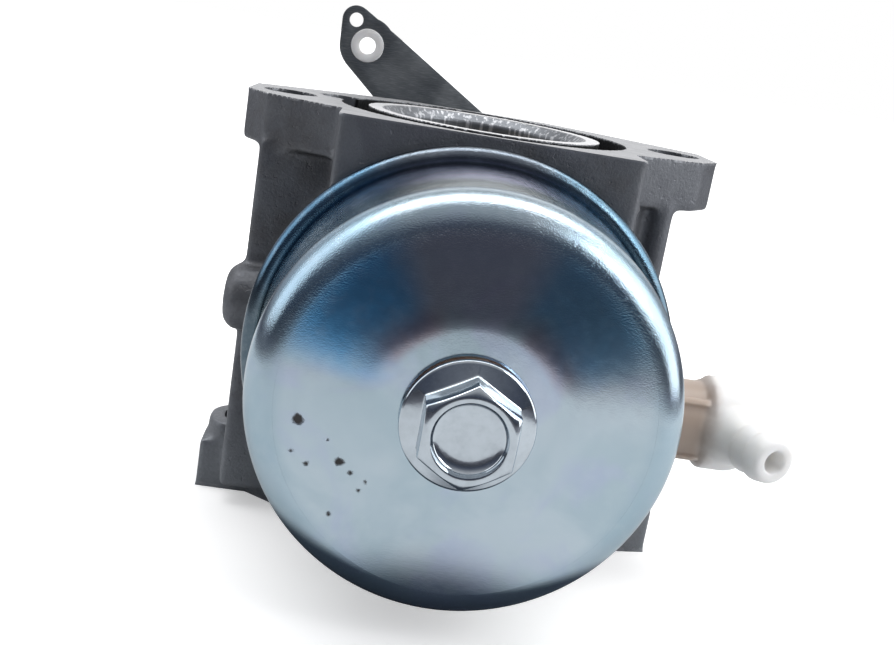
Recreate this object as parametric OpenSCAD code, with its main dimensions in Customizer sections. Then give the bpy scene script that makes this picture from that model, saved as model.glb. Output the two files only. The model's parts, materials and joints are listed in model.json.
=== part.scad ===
// Single-barrel float-bowl carburetor for a small engine.
// +Z runs along the throttle bore, from the engine flange (z = 0) to the air-cleaner flange.
// -Y runs along the float bowl axis, towards the bowl bolt. +X points to the fuel inlet.

/* [Flanges] */
// Distance from the engine face to the air-cleaner face
total_h = 72.2; // [72:0.1:73]
// Thickness of the air-cleaner flange ears
air_flange_t = 8.5; // [7:0.5:10]
// Thickness of the engine flange ears
engine_flange_t = 9; // [8:0.5:10]
// Centre distance of the two stud holes
stud_pitch = 67.8; // [67:0.1:69]
// Radius of the stud holes
stud_hole_r = 4.5; // [4:0.1:4.6]
// Half width over the air-cleaner ears
air_ear_x = 40.5; // [40:0.5:42]
// Half width over the engine ears
engine_ear_x = 41.7; // [41.5:0.1:43]

/* [Bore] */
// Radius of the intake bore
intake_r = 16.5; // [16.4:0.1:17]
// Radius of the venturi throat
throat_r = 12; // [11:0.5:12.5]
// Radius of the throttle bore
throttle_r = 14; // [13.9:0.1:14.4]
// Height of the throttle shaft axis
throttle_z = 14.2; // [14.2:0.1:14.6]
// Height of the choke shaft axis
choke_z = 51.4; // [51:0.1:51.6]
// Outer radius of the cast barrel around the bore
barrel_r = 21.5; // [21:0.5:22]
// Outer radius of the ring recess in the air-cleaner face
recess_r = 25; // [24.5:0.1:25.2]
// Outer radius of the bell-mouth rim inside that recess
rim_r = 20.3; // [20:0.1:21]

/* [Float bowl] */
// Height of the bowl axis above the engine face
bowl_z = 36.5; // [36.3:0.1:36.8]
// Distance from the bore axis to the face that the bowl closes on
seat_y = 26.4; // [26.2:0.1:26.6]
// Distance from the bore axis to the underside of the bowl bolt's flange
bolt_y = 57.4; // [57.2:0.1:57.8]
// Outer radius of the bowl wall
bowl_r = 30.9; // [30.8:0.1:31.1]
// Outer radius of the rolled bead at the bowl's mouth
bead_r = 34.2; // [34:0.1:34.4]
// Thickness of the pressed steel
bowl_t = 0.9; // [0.8:0.1:1]

/* [Shafts and levers] */
// Radius of the throttle shaft
throttle_shaft_r = 3.5; // [3.4:0.1:3.6]
// Radius of the choke shaft
choke_shaft_r = 2.75; // [2.7:0.05:2.9]
// Radial clearance of a shaft in its bearing
shaft_gap = 0.05; // [0.03:0.01:0.08]
// Thickness of the lever plates
lever_t = 1.6; // [1.4:0.1:1.8]
// Angle from shut to open of the choke plate in degrees
choke_open = 75; // [70:1:78]

/* [Hidden] */
$fn = 96;
cut = 0.5;                                  // how far a cutting tool runs past a face
fit = 0.05;                                 // gap round a fixed piece in its own hole

stud_x = stud_pitch / 2;
air_flange_z = total_h - air_flange_t;
block_x = 24;                               // half width of the block behind the bowl bead
block_z = 44;                               // underside of that block
air_ear_y = 5.3;                            // front corner of an air-cleaner ear
air_bend = [36.8, 10.6];                    // bend in that ear's front edge
air_root_y = 16.5;                          // where the front edge meets the block
air_back_y = 9;                             // back corner of an air-cleaner ear
flange_back_y = 26.8;
recess_d = 3.2;

venturi_top_z = 44;
throat_top_z = 38;
throat_low_z = 34.5;
venturi_low_z = 28;

wing_x0 = -36.9;                            // walls that join the flanges on both sides of the bowl seat
wing_x1 = 31.5;
wing_y0 = -11.8;
wing_y1 = -7;
wing_z0 = 3;
right_ribs = [[25, 2.8], [31.3, 1.9]];      // centre and radius of the ribs on the right wing
rib_z0 = 36;
stud_boss_r = 7.2;
stud_boss_z = 12.6;
engine_ear_y = 5.6;                         // front edge of an engine ear
side_boss = [-39.4, -12, 38];               // end of the round boss on the left wing
side_boss_r = 5.7;
side_boss_round = 1.6;                      // bevel of its end
seat_r = 32.6;                              // radius of the disc that the bowl closes on
gasket_r0 = 29.2;
gasket_r1 = 31.9;
gasket_t = 1.6;

pedestal_r = 6.5;
pedestal_y = bolt_y - 2.5;
nozzle_r = 2.6;
bolt_shank_r = 3.9;
bolt_thread_y = bolt_y - 15;                // depth of the bolt's threaded hole in the pedestal
washer_t = 0.9;
bowl_hole_r = 4.4;                          // hole for the bolt
bowl_floor_y = bolt_y - washer_t;           // outer face of the bowl's flat centre
shoulder_r = 5.2;                           // outer radius of the bowl's shoulder
shoulder_y = bolt_y - 7.6;                  // where the shoulder meets the wall
bead_tube_r = 1.75;
bead_y = seat_y + 0.1 + bead_tube_r;
shoulder_start = 83.5;                      // angle where the sloped ring runs into the shoulder
bowl_flat_r = 13.8;                         // flat centre of the bowl
bowl_flare = 0.8;                           // how far the wall widens towards the bead
flare_y = seat_y + 15;
flare_end_y = bead_y + 2.2;
hex_flats = 12.7;
hex_turn = 89;                              // direction of one corner of the bolt's hexagon
bolt_head_h = 6.2;
bolt_flange_r = 9.3;
bolt_flange_t = 0.7;                        // thickness at the flange's edge
bolt_cone_h = 1.6;                          // height of the flange where it meets the hexagon
bolt_dish_r = 5.05;
bolt_dish_depth = 1.4;

hinge_x = 25.5;                             // float hinge pin axis
hinge_y = -(seat_y + 2.4);
hinge_r = 1;
hinge_half = 9;                             // half length of the hinge pin
float_y0 = -(seat_y + 3.4);                 // float faces while the needle is shut
float_y1 = -(seat_y + 15.4);
float_r = 26;
float_hole_r = 10.4;
needle_x = 18;
needle_z = bowl_z - 6;
needle_r = 1.7;
needle_seat_r = 3;
needle_foot_y = float_y0 + 0.16;            // end that rests over the float's tang
needle_tip_y = -seat_y + 6.3;

inlet_y = -13;                              // fuel inlet axis
inlet_z = 28.2;
inlet_boss_r = 8.4;
inlet_face_x = 34;
inlet_hole_r = 6.9;
inlet_hole_x = 25;
inlet_passage_r = 2.4;
elbow_root_r = 7.3;
elbow_collar_r = 8.2;
elbow_collar_x = 44.6;
elbow_turn_x = 47.4;
elbow_end = [53.5, -30, 28.1];               // centre of the hose end
barb_r = 4.4;
barb_tilt = atan2(elbow_end[0] - elbow_turn_x, inlet_y - elbow_end[1]);
barb_len = (inlet_y - elbow_end[1]) / cos(barb_tilt);
barb_rise = atan2(elbow_end[2] - inlet_z, barb_len);
o_ring_x = 30;
o_ring_r0 = 5.4;

shaft_front_y = -19.5;
boss_back_y = 25.8;                         // back face of the shaft bosses
seal_depth = 2.2;
choke_lever_y = 28;
throttle_lever_y = 29;
plate_t = 1.2;
plate_gap = 0.07;                           // gap between a butterfly plate and the bore
seat_gap = 0.1;                             // how far a plate's seat runs past the bore
choke_screw_y = 7;
throttle_screw_y = 6;
plate_screw_r = 1.5;
throttle_stub_r = 2.5;                      // threaded end of the throttle shaft
choke_screw_r = 1.9;
throttle_link = [22, throttle_z + 4];
governor_link = [13, throttle_z - 6.4];
link_hole_r = 1.6;
choke_link = [-22.8, 81.3];                 // large hole, with the bushing
choke_spring_link = [-25.6, 85.8];          // small hole at the tip
choke_link_r = 3.2;

air_jet_r = 1.6;
air_jet_reach = 22.6;
air_jet_angles = [150, 210];
pilot_jet_r = 2;
pilot_jet_at = [-12, 14, 0];
main_jet_r = 1.9;
main_jet_y = bolt_thread_y - 5.4;
nozzle_y0 = 3;                              // nozzle tip, near the bore axis
nozzle_y1 = main_jet_y - 3;
welch_turn = 40;
welch_z = 22;
welch_r = 4.5;
welch_pocket = 1.4;
plug_r = 2.2;
plug_len = 2;
plug_places = [side_boss, [-block_x, -19, 57]];

idle_lug_x = -10;                           // idle speed screw axis
idle_lug_y = throttle_lever_y + lever_t / 2;
idle_lug_z0 = 23.5;
idle_lug_z1 = 28.5;
idle_screw_r = 2;
idle_head_z = 36;
stop_arm_z = throttle_z + 3.2;              // top edge of the lever's stop arm

mixture_z = 8.6;
mixture_turn = 135;                         // direction of the idle mixture screw from +X
mixture_boss_end = 29;
mixture_head_end = 37;
mixture_head_x = mixture_head_end - 3.6;
mixture_r = 2.4;
mixture_access_r = 4.8;                     // notch in the flange round the screw's head

module rod_x(y, z, x0, x1, r)
    translate([x0, y, z]) rotate([0, 90, 0]) cylinder(h = x1 - x0, r = r);

module rod_y(x, z, y0, y1, r)
    translate([x, y0, z]) rotate([-90, 0, 0]) cylinder(h = y1 - y0, r = r);

module rod_z(x, y, z0, z1, r)
    translate([x, y, z0]) cylinder(h = z1 - z0, r = r);

module slab(x0, x1, y0, y1, z0, z1)
    translate([x0, y0, z0]) cube([x1 - x0, y1 - y0, z1 - z0]);

// Turns local +Z to -Y, so that a bowl piece is drawn by its distance from the bore axis.
module on_bowl_axis()
    translate([0, 0, bowl_z]) rotate([90, 0, 0]) children();

// Lies a flat outline given in X and Z in the plane of a lever, from y to y + t.
module lever_plane(y, t)
    translate([0, y + t, 0]) rotate([90, 0, 0]) linear_extrude(t) children();

module ring(r0, r1, z0, z1)
    rotate_extrude() translate([r0, z0]) square([r1 - r0, z1 - z0]);

// ---- cast body ----

module air_flange() {
    half = [
        [0, -seat_y], [block_x, -seat_y], [block_x, -air_root_y], [air_bend[0], -air_bend[1]],
        [air_ear_x, -air_ear_y], [air_ear_x, air_back_y], [block_x, flange_back_y - 6],
        [14, flange_back_y], [0, flange_back_y]
    ];
    translate([0, 0, air_flange_z]) linear_extrude(air_flange_t) for (side = [0, 1])
        mirror([side, 0]) polygon(half);
}

module engine_flange() {
    outline = [
        [-engine_ear_x, -engine_ear_y], [-32.5, -engine_ear_y], [-27, -9.4], [-22, -17], [22, -17],
        [34, -10.2], [engine_ear_x, -8.4], [engine_ear_x, 8], [25, 21], [-25, 21], [-engine_ear_x, 8]
    ];
    linear_extrude(engine_flange_t) polygon(outline);
    intersection() {
        for (side = [-1, 1]) rod_z(side * stud_x, 0, 0, stud_boss_z, stud_boss_r);
        slab(-engine_ear_x, engine_ear_x, -engine_ear_y, engine_ear_y + 4, 0, stud_boss_z);
    }
}

module barrel() {
    rod_z(0, 0, 0, total_h, barrel_r);
    rod_y(0, throttle_z, 0, boss_back_y, 8.2);
    rod_y(0, choke_z, 0, boss_back_y, 7.4);
    slab(-8.2, 8.2, 12, 23.5, throttle_z, choke_z);
}

module bowl_side() {
    slab(wing_x0, wing_x1, wing_y0, wing_y1, wing_z0, air_flange_z + 1);
    slab(wing_x0, wing_x1, wing_y0, -engine_ear_y + 1, wing_z0, engine_flange_t);
    slab(-block_x, block_x, -seat_y, -8, block_z, total_h);
    on_bowl_axis() {
        ring(0, seat_r, 8, seat_y);
        cylinder(h = pedestal_y, r = pedestal_r);
    }
    for (rib = right_ribs) rod_z(rib[0], wing_y0 + 0.4, rib_z0, air_flange_z + 1, rib[1]);
    rod_x(side_boss[1], side_boss[2], side_boss[0] + side_boss_round, -18, side_boss_r);
    translate(side_boss) rotate([0, 90, 0])
        cylinder(h = side_boss_round, r1 = side_boss_r - side_boss_round, r2 = side_boss_r);
    translate([block_x, -24.2, 64.6]) sphere(r = 0.9, $fn = 24);
    rod_x(inlet_y, inlet_z, 12, inlet_face_x, inlet_boss_r);
    for (z = [bowl_z - hinge_half, bowl_z + hinge_half - 3])
        slab(hinge_x - 2.2, hinge_x + 2.2, hinge_y - 1.9, -seat_y + 1, z, z + 3);
}

// Triangular webs that carry the flange ears from the barrel.
module ear_webs() {
    reach = 35;
    for (side = [-1, 1]) translate([0, 9.5, 0]) rotate([90, 0, 0]) linear_extrude(3) {
        polygon([[side * 15, air_flange_z + 1], [side * reach, air_flange_z + 1],
            [side * 20, air_flange_z - 13], [side * 15, air_flange_z - 13]]);
        polygon([[side * 15, 5], [side * reach, 5], [side * 20, 24], [side * 15, 24]]);
    }
}

module screw_lugs() {
    slab(idle_lug_x - 4, idle_lug_x + 4, 12, idle_lug_y + 3.6, idle_lug_z0, idle_lug_z1);
    translate([0, 0, mixture_z]) rotate([0, 0, mixture_turn])
        rod_x(0, 0, throttle_r + 2, mixture_boss_end, 5);
}

module bore_cut() {
    rotate_extrude() polygon([
        [0, -cut], [throttle_r, -cut], [throttle_r, venturi_low_z], [throat_r, throat_low_z],
        [throat_r, throat_top_z], [intake_r, venturi_top_z], [intake_r, total_h - 1.4],
        [intake_r + 1.4, total_h], [intake_r + 1.4, total_h + cut], [0, total_h + cut]
    ]);
}

module face_cuts() {
    ring(rim_r, recess_r, total_h - recess_d, total_h + cut);
    rod_z(-25, 7.5, total_h - 7, total_h + cut, 4);
    for (side = [-1, 1]) rod_z(side * stud_x, 0, -cut, total_h + cut, stud_hole_r);
    for (a = air_jet_angles) rotate([0, 0, a])
        rod_z(air_jet_reach, 0, air_flange_z + 0.6, total_h - recess_d + cut, air_jet_r + fit);
}

module shaft_cuts() {
    rod_y(0, throttle_z, shaft_front_y - 0.4, boss_back_y + cut, throttle_shaft_r + shaft_gap);
    rod_y(0, choke_z, shaft_front_y - 0.4, boss_back_y + cut, choke_shaft_r + shaft_gap);
    rod_y(0, throttle_z, boss_back_y - seal_depth, boss_back_y + cut, 5.6);
    rod_y(0, choke_z, boss_back_y - seal_depth, boss_back_y + cut, 4.8);
    rod_z(idle_lug_x, idle_lug_y, idle_lug_z0 - cut, idle_lug_z1 + cut, idle_screw_r + shaft_gap);
    translate([0, 0, mixture_z]) rotate([0, 0, mixture_turn]) {
        rod_x(0, 0, throttle_r - 1, 22, 1.4);
        rod_x(0, 0, 20, mixture_boss_end + cut, mixture_r + shaft_gap);
        rod_x(0, 0, mixture_boss_end, mixture_head_end + 8, mixture_access_r);
    }
}

module fuel_cuts() {
    on_bowl_axis() {
        ring(gasket_r0 - fit, gasket_r1 + fit, seat_y - gasket_t, seat_y + cut);
        cylinder(h = bolt_thread_y, r = nozzle_r + fit);
        translate([0, 0, bolt_thread_y - 3]) cylinder(h = 30, r = bolt_shank_r + fit);
        translate(pilot_jet_at) translate([0, 0, seat_y - 8]) cylinder(h = 10, r = pilot_jet_r + fit);
    }
    rod_x(-main_jet_y, bowl_z, -pedestal_r - cut, 0, main_jet_r + fit);
    rod_x(inlet_y, inlet_z, inlet_hole_x, inlet_face_x + cut, inlet_hole_r);
    rod_x(inlet_y, inlet_z, needle_x - 2, inlet_hole_x + cut, inlet_passage_r);
    rod_y(needle_x, needle_z, -seat_y - cut, -seat_y + 8, needle_seat_r + fit);
    rod_y(needle_x, needle_z, -seat_y + 7, inlet_y, 1.6);
    rod_z(hinge_x, hinge_y, bowl_z - hinge_half - cut, bowl_z + hinge_half + cut, hinge_r + fit);
    rotate([0, 0, welch_turn]) rod_x(0, welch_z, barrel_r - welch_pocket, barrel_r + 4, welch_r + fit);
    for (p = plug_places) rod_x(p[1], p[2], p[0] - cut, p[0] + plug_len + 1, plug_r + fit);
}

module carburetor_body() color("dimgray") difference() {
    union() {
        air_flange();
        engine_flange();
        barrel();
        bowl_side();
        ear_webs();
        screw_lugs();
    }
    bore_cut();
    face_cuts();
    shaft_cuts();
    fuel_cuts();
}

module welch_plug() color("silver")
    rotate([0, 0, welch_turn]) rod_x(0, welch_z, barrel_r - welch_pocket + fit, barrel_r - 0.3, welch_r);

module passage_plugs() color("darkkhaki")
    for (p = plug_places) rod_x(p[1], p[2], p[0] + 0.4, p[0] + 0.4 + plug_len, plug_r);

module air_jets() color("goldenrod") for (a = air_jet_angles) rotate([0, 0, a]) difference() {
    rod_z(air_jet_reach, 0, air_flange_z + 1.4, total_h - recess_d, air_jet_r);
    rod_z(air_jet_reach, 0, air_flange_z, total_h, 0.6);
}

module pilot_jet() color("goldenrod") on_bowl_axis() translate(pilot_jet_at) difference() {
    translate([0, 0, seat_y - 7.5]) cylinder(h = 7.9, r = pilot_jet_r);
    translate([0, 0, seat_y - 8]) cylinder(h = 10, r = 0.5);
    translate([-3, -0.35, seat_y - 0.6]) cube([6, 0.7, 2]);
}

module main_nozzle() color("goldenrod") on_bowl_axis() difference() {
    ring(1.1, nozzle_r, nozzle_y0, nozzle_y1);
    for (z = [nozzle_y1 - 14, nozzle_y1 - 10, nozzle_y1 - 6])
        translate([0, 0, z]) rotate([0, 90, 0]) cylinder(h = 8, r = 0.45, center = true);
}

module main_jet() color("goldenrod") difference() {
    rod_x(-main_jet_y, bowl_z, -pedestal_r, -bolt_shank_r + 0.8, main_jet_r);
    rod_x(-main_jet_y, bowl_z, -pedestal_r - cut, 0, 0.5);
    slab(-pedestal_r - cut, -pedestal_r + 0.7, -main_jet_y - 0.35, -main_jet_y + 0.35,
        bowl_z - 3, bowl_z + 3);
}

// ---- float bowl and its fixings ----

function arc(x, y, r, a0, a1, steps) =
    [for (i = [0 : steps]) let (a = a0 + (a1 - a0) * i / steps) [x + r * cos(a), y + r * sin(a)]];

module float_bowl() color("lightsteelblue") on_bowl_axis() rotate_extrude() {
    outer = concat(
        [[bowl_hole_r, bowl_floor_y], [bowl_flat_r, bowl_floor_y]],
        arc(bowl_r - shoulder_r, shoulder_y, shoulder_r, shoulder_start, 0, 7),
        [[bowl_r, flare_y], [bowl_r + bowl_flare, flare_end_y]],
        arc(bead_r - bead_tube_r, bead_y, bead_tube_r, 115, -90, 9)
    );
    inner = concat(
        [[bowl_r + bowl_flare - bowl_t, bead_y - bead_tube_r], [bowl_r + bowl_flare - bowl_t, flare_end_y],
            [bowl_r - bowl_t, flare_y]],
        arc(bowl_r - shoulder_r, shoulder_y, shoulder_r - bowl_t, 0, shoulder_start, 7),
        [[bowl_flat_r, bowl_floor_y - bowl_t], [bowl_hole_r, bowl_floor_y - bowl_t]]
    );
    polygon(concat(outer, inner));
}

module bowl_gasket() color("black") on_bowl_axis()
    ring(gasket_r0, gasket_r1, seat_y - gasket_t + fit, seat_y + 0.08);

module bowl_bolt_washer() color("tan") on_bowl_axis()
    ring(bolt_shank_r + 0.3, 8.9, bowl_floor_y + 0.01, bolt_y);

module bowl_bolt() color("gainsboro") on_bowl_axis() difference() {
    union() {
        translate([0, 0, bolt_thread_y])
            cylinder(h = bolt_y + bolt_cone_h - bolt_thread_y, r = bolt_shank_r);
        translate([0, 0, bolt_y]) rotate_extrude() polygon([
            [0, 0.01], [bolt_flange_r, 0.01], [bolt_flange_r, bolt_flange_t],
            [bolt_flange_r - 0.4, bolt_flange_t + 0.3], [hex_flats / 2, bolt_cone_h], [0, bolt_cone_h]
        ]);
        translate([0, 0, bolt_y]) rotate([0, 0, hex_turn]) intersection() {
            cylinder(h = bolt_head_h, r = hex_flats / sqrt(3), $fn = 6);
            rotate_extrude() polygon([
                [0, 0], [9, 0], [9, bolt_head_h - 1.7], [6.1, bolt_head_h], [0, bolt_head_h]
            ]);
        }
    }
    translate([0, 0, bolt_y + bolt_head_h - bolt_dish_depth]) rotate_extrude() polygon([
        [0, 0], [3.4, 0], [4.6, 0.5], [bolt_dish_r, 1.2], [bolt_dish_r, 2], [0, 2]
    ]);
}

// ---- float, needle and fuel inlet ----

module float() color("ivory") difference() {
    union() {
        on_bowl_axis() difference() {
            ring(float_hole_r, float_r, -float_y0, -float_y1);
            translate([20.6, -10.4, 20]) cube([20, 20.8, 30]);
        }
        slab(12.5, hinge_x, float_y0 - 1.6, float_y0, bowl_z - 5.6, bowl_z + 5.6);
        rod_z(hinge_x, hinge_y, bowl_z - 5.6, bowl_z + 5.6, 2);
    }
    rod_z(hinge_x, hinge_y, bowl_z - 12, bowl_z + 12, hinge_r + fit);
}

module float_hinge_pin() color("silver")
    rod_z(hinge_x, hinge_y, bowl_z - hinge_half - 0.6, bowl_z + hinge_half + 0.6, hinge_r);

module inlet_needle() color("dimgray") {
    rod_y(needle_x, needle_z, needle_foot_y, needle_foot_y + 1.4, 0.8);
    rod_y(needle_x, needle_z, needle_foot_y + 1.3, needle_tip_y - 1.6, needle_r);
    translate([needle_x, needle_tip_y - 1.6, needle_z]) rotate([-90, 0, 0])
        cylinder(h = 1.6, r1 = needle_r, r2 = 0.7);
}

module needle_clip() color("silver") difference() {
    rod_y(needle_x, needle_z, needle_foot_y + 1.5, needle_foot_y + 2, 2.3);
    rod_y(needle_x, needle_z, needle_foot_y, needle_foot_y + 3, needle_r + 0.02);
}

module needle_seat() color("goldenrod") translate([needle_x, -seat_y, needle_z]) rotate([-90, 0, 0])
    rotate_extrude() polygon([
        [needle_r + shaft_gap, 0.02], [needle_seat_r, 0.02], [needle_seat_r, 7.8], [0.8, 7.8],
        [0.8, 6.6], [needle_r + shaft_gap, 5.0]
    ]);

module inlet_barb() translate([elbow_turn_x, inlet_y, inlet_z])
    rotate([90 - barb_rise, 0, barb_tilt]) children();

module fuel_inlet_elbow() color("white") difference() {
    union() {
        rod_x(inlet_y, inlet_z, inlet_hole_x + 0.4, inlet_face_x + 1, inlet_hole_r - fit);
        rod_x(inlet_y, inlet_z, inlet_face_x + 0.05, elbow_collar_x - 1.2, elbow_root_r);
        translate([elbow_collar_x - 1.21, inlet_y, inlet_z]) rotate([0, 90, 0]) rotate_extrude() polygon([
            [0, 0], [elbow_root_r, 0], [elbow_collar_r, 1.2], [elbow_collar_r, 5], [6.6, 7], [0, 7]
        ]);
        inlet_barb() {
            cylinder(h = barb_len, r = 3.6);
            cylinder(h = barb_len - 8, r1 = 7, r2 = 4.2);
            for (z = [barb_len - 7.2, barb_len - 3.4])
                translate([0, 0, z]) cylinder(h = 3.4, r1 = barb_r, r2 = 3.7);
        }
    }
    rod_x(inlet_y, inlet_z, 20, elbow_turn_x, inlet_passage_r);
    inlet_barb() cylinder(h = barb_len + 1, r = 2);
    translate([o_ring_x - 1, inlet_y, inlet_z]) rotate([0, 90, 0]) ring(o_ring_r0, 9, 0, 2);
}

module fuel_inlet_o_ring() color("black") translate([o_ring_x - 0.85, inlet_y, inlet_z]) rotate([0, 90, 0])
    ring(o_ring_r0 + 0.03, inlet_hole_r - 0.03, 0, 1.7);

// ---- throttle ----

// Half-round notch that a butterfly plate is screwed onto, with its two screw holes.
module plate_seat(z, half, screw_y) {
    slab(-6, 6, -half, half, z - plate_t / 2, z + 6);
    for (y = [-screw_y, screw_y]) rod_z(0, y, z - 6, z, plate_screw_r + fit);
}

module plate_screw(y, z, shaft_r) difference() {
    union() {
        rod_z(0, y, z - shaft_r - 0.4, z + plate_t / 2 + 0.3, plate_screw_r);
        rod_z(0, y, z + plate_t / 2 + 0.01, z + plate_t / 2 + 1.5, 2.7);
    }
    slab(-3, 3, y - 0.35, y + 0.35, z + plate_t / 2 + 0.8, z + 4);
}

module butterfly(z, r, screw_y) difference() {
    rod_z(0, 0, z - plate_t / 2 + 0.01, z + plate_t / 2, r);
    for (y = [-screw_y, screw_y]) rod_z(0, y, z - 3, z + 3, plate_screw_r + fit);
}

module throttle_shaft() color("silver") difference() {
    union() {
        rod_y(0, throttle_z, shaft_front_y, throttle_lever_y + lever_t - 0.1, throttle_shaft_r);
        rod_y(0, throttle_z, throttle_lever_y, throttle_lever_y + lever_t + 4.4, throttle_stub_r);
    }
    plate_seat(throttle_z, throttle_r + seat_gap, throttle_screw_y);
}

module throttle_plate() color("gold")
    butterfly(throttle_z, throttle_r - plate_gap, throttle_screw_y);

module throttle_plate_screws() color("silver")
    for (y = [-throttle_screw_y, throttle_screw_y]) plate_screw(y, throttle_z, throttle_shaft_r);

// Lever arm from a to b, half_w wide each side, with a round eye of radius eye_r at b.
module arm(a, b, half_w, eye_r) {
    d = b - a;
    translate(b) circle(eye_r);
    translate(a) rotate(atan2(d[1], d[0])) translate([0, -half_w]) square([norm(d), 2 * half_w]);
}

module throttle_lever() color("slategray") lever_plane(throttle_lever_y, lever_t) difference() {
    union() {
        translate([0, throttle_z]) circle(7);
        arm([0, throttle_z], throttle_link, 2.7, 3.4);
        arm([0, throttle_z], governor_link, 2.5, 3.2);
        translate([-12, throttle_z - 3]) square([12, stop_arm_z - throttle_z + 3]);
    }
    translate([0, throttle_z]) circle(throttle_shaft_r + 0.02);
    translate(throttle_link) circle(link_hole_r);
    translate(governor_link) circle(link_hole_r);
}

module throttle_lever_nut() color("gainsboro") difference() {
    translate([0, throttle_lever_y + lever_t, throttle_z]) rotate([-90, 0, 0])
        cylinder(h = 3.6, r = 8 / sqrt(3), $fn = 6);
    rod_y(0, throttle_z, throttle_lever_y, throttle_lever_y + 9, throttle_stub_r + 0.02);
}

module throttle_return_spring() color("gray") translate([0, boss_back_y + 0.3, throttle_z])
    rotate([-90, 0, 0]) ring(4.2, 5.2, 0, throttle_lever_y - boss_back_y - 0.6);

module throttle_shaft_seal() color("black") translate([0, boss_back_y - seal_depth + 0.1, throttle_z])
    rotate([-90, 0, 0]) ring(throttle_shaft_r + fit, 5.55, 0, seal_depth - 0.1);

// ---- choke ----

// Turns pieces drawn with the choke shut to the open rest position.
module choke_pose()
    translate([0, 0, choke_z]) rotate([0, choke_open, 0]) translate([0, 0, -choke_z]) children();

module choke_shaft() color("silver") choke_pose() difference() {
    rod_y(0, choke_z, shaft_front_y, choke_lever_y + lever_t - 0.05, choke_shaft_r);
    plate_seat(choke_z, intake_r + seat_gap, choke_screw_y);
    rod_y(0, choke_z, choke_lever_y - 9, choke_lever_y + 9, choke_screw_r + 0.03);
}

module choke_plate() color("gold") choke_pose() difference() {
    butterfly(choke_z, intake_r - plate_gap, choke_screw_y);
    rod_z(9, 0, choke_z - 3, choke_z + 3, 2.2);
}

module choke_plate_screws() color("silver") choke_pose()
    for (y = [-choke_screw_y, choke_screw_y]) plate_screw(y, choke_z, choke_shaft_r);

module choke_lever() color("slategray") lever_plane(choke_lever_y, lever_t) difference() {
    union() {
        translate([0, choke_z]) circle(8);
        translate(choke_link) circle(5.4);
        translate(choke_spring_link) circle(2.7);
        polygon([
            [-28.3, 85.8], [-28.2, 81.3], [-26.6, 77.4], [-20.6, 72.1], [-8, 61], [-8, choke_z],
            [8, choke_z], [9.4, 62], [7.4, 68.4], [-0.6, 73.5], [-16.8, 83.7], [-24.1, 88.1]
        ]);
    }
    translate([0, choke_z]) circle(choke_shaft_r + 0.02);
    translate(choke_link) circle(choke_link_r);
    translate(choke_spring_link) circle(1.35);
}

module choke_lever_bushing() color("white") lever_plane(choke_lever_y - 0.3, lever_t + 0.6) difference() {
    translate(choke_link) circle(choke_link_r - 0.02);
    translate(choke_link) circle(link_hole_r);
}

module choke_lever_screw() color("gainsboro") difference() {
    union() {
        rod_y(0, choke_z, choke_lever_y - 6, choke_lever_y + lever_t + 1, choke_screw_r);
        rod_y(0, choke_z, choke_lever_y + lever_t + 0.01, choke_lever_y + lever_t + 2.4, 4);
    }
    slab(-0.5, 0.5, choke_lever_y + lever_t + 1.2, choke_lever_y + 9, choke_z - 5, choke_z + 5);
}

module choke_return_spring() color("gray") translate([0, boss_back_y + 0.25, choke_z])
    rotate([-90, 0, 0]) ring(3.4, 4.4, 0, choke_lever_y - boss_back_y - 0.5);

module choke_shaft_seal() color("black") translate([0, boss_back_y - seal_depth + 0.1, choke_z])
    rotate([-90, 0, 0]) ring(choke_shaft_r + fit, 4.75, 0, seal_depth - 0.1);

// ---- adjusting screws ----

module idle_speed_screw() color("gainsboro") difference() {
    union() {
        translate([idle_lug_x, idle_lug_y, stop_arm_z + 0.2]) cylinder(h = 1, r1 = 1.2, r2 = idle_screw_r);
        rod_z(idle_lug_x, idle_lug_y, stop_arm_z + 1.2, idle_head_z + 1, idle_screw_r);
        rod_z(idle_lug_x, idle_lug_y, idle_head_z, idle_head_z + 3.2, 3.6);
    }
    slab(idle_lug_x - 5, idle_lug_x + 5, idle_lug_y - 0.5, idle_lug_y + 0.5,
        idle_head_z + 1.8, idle_head_z + 9);
}

module idle_speed_spring() color("gray") translate([idle_lug_x, idle_lug_y, 0])
    ring(idle_screw_r + 0.35, 3.2, idle_lug_z1 + 0.05, idle_head_z - 0.3);

module on_mixture_axis()
    translate([0, 0, mixture_z]) rotate([0, 0, mixture_turn]) rotate([0, 90, 0]) children();

module idle_mixture_screw() color("goldenrod") on_mixture_axis() difference() {
    union() {
        translate([0, 0, throttle_r + 0.6]) cylinder(h = 2.4, r1 = 0.2, r2 = 1);
        translate([0, 0, throttle_r + 3]) cylinder(h = 6, r = 1);
        translate([0, 0, 20.4]) cylinder(h = mixture_head_x - 19, r = mixture_r);
        translate([0, 0, mixture_head_x]) cylinder(h = 3.6, r = 3.8);
    }
    translate([-5, -0.5, mixture_head_end - 1.4]) cube([10, 1, 3]);
}

module idle_mixture_spring() color("gray") on_mixture_axis()
    ring(mixture_r + 0.35, 3.6, mixture_boss_end + 0.05, mixture_head_x - 0.3);

carburetor_body();
float_bowl();
bowl_gasket();
bowl_bolt();
bowl_bolt_washer();
float();
float_hinge_pin();
inlet_needle();
needle_clip();
needle_seat();
fuel_inlet_elbow();
fuel_inlet_o_ring();
main_nozzle();
main_jet();
pilot_jet();
air_jets();
throttle_shaft();
throttle_plate();
throttle_plate_screws();
throttle_lever();
throttle_lever_nut();
throttle_return_spring();
throttle_shaft_seal();
choke_shaft();
choke_plate();
choke_plate_screws();
choke_lever();
choke_lever_bushing();
choke_lever_screw();
choke_return_spring();
choke_shaft_seal();
idle_speed_screw();
idle_speed_spring();
idle_mixture_screw();
idle_mixture_spring();
welch_plug();
passage_plugs();
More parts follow.
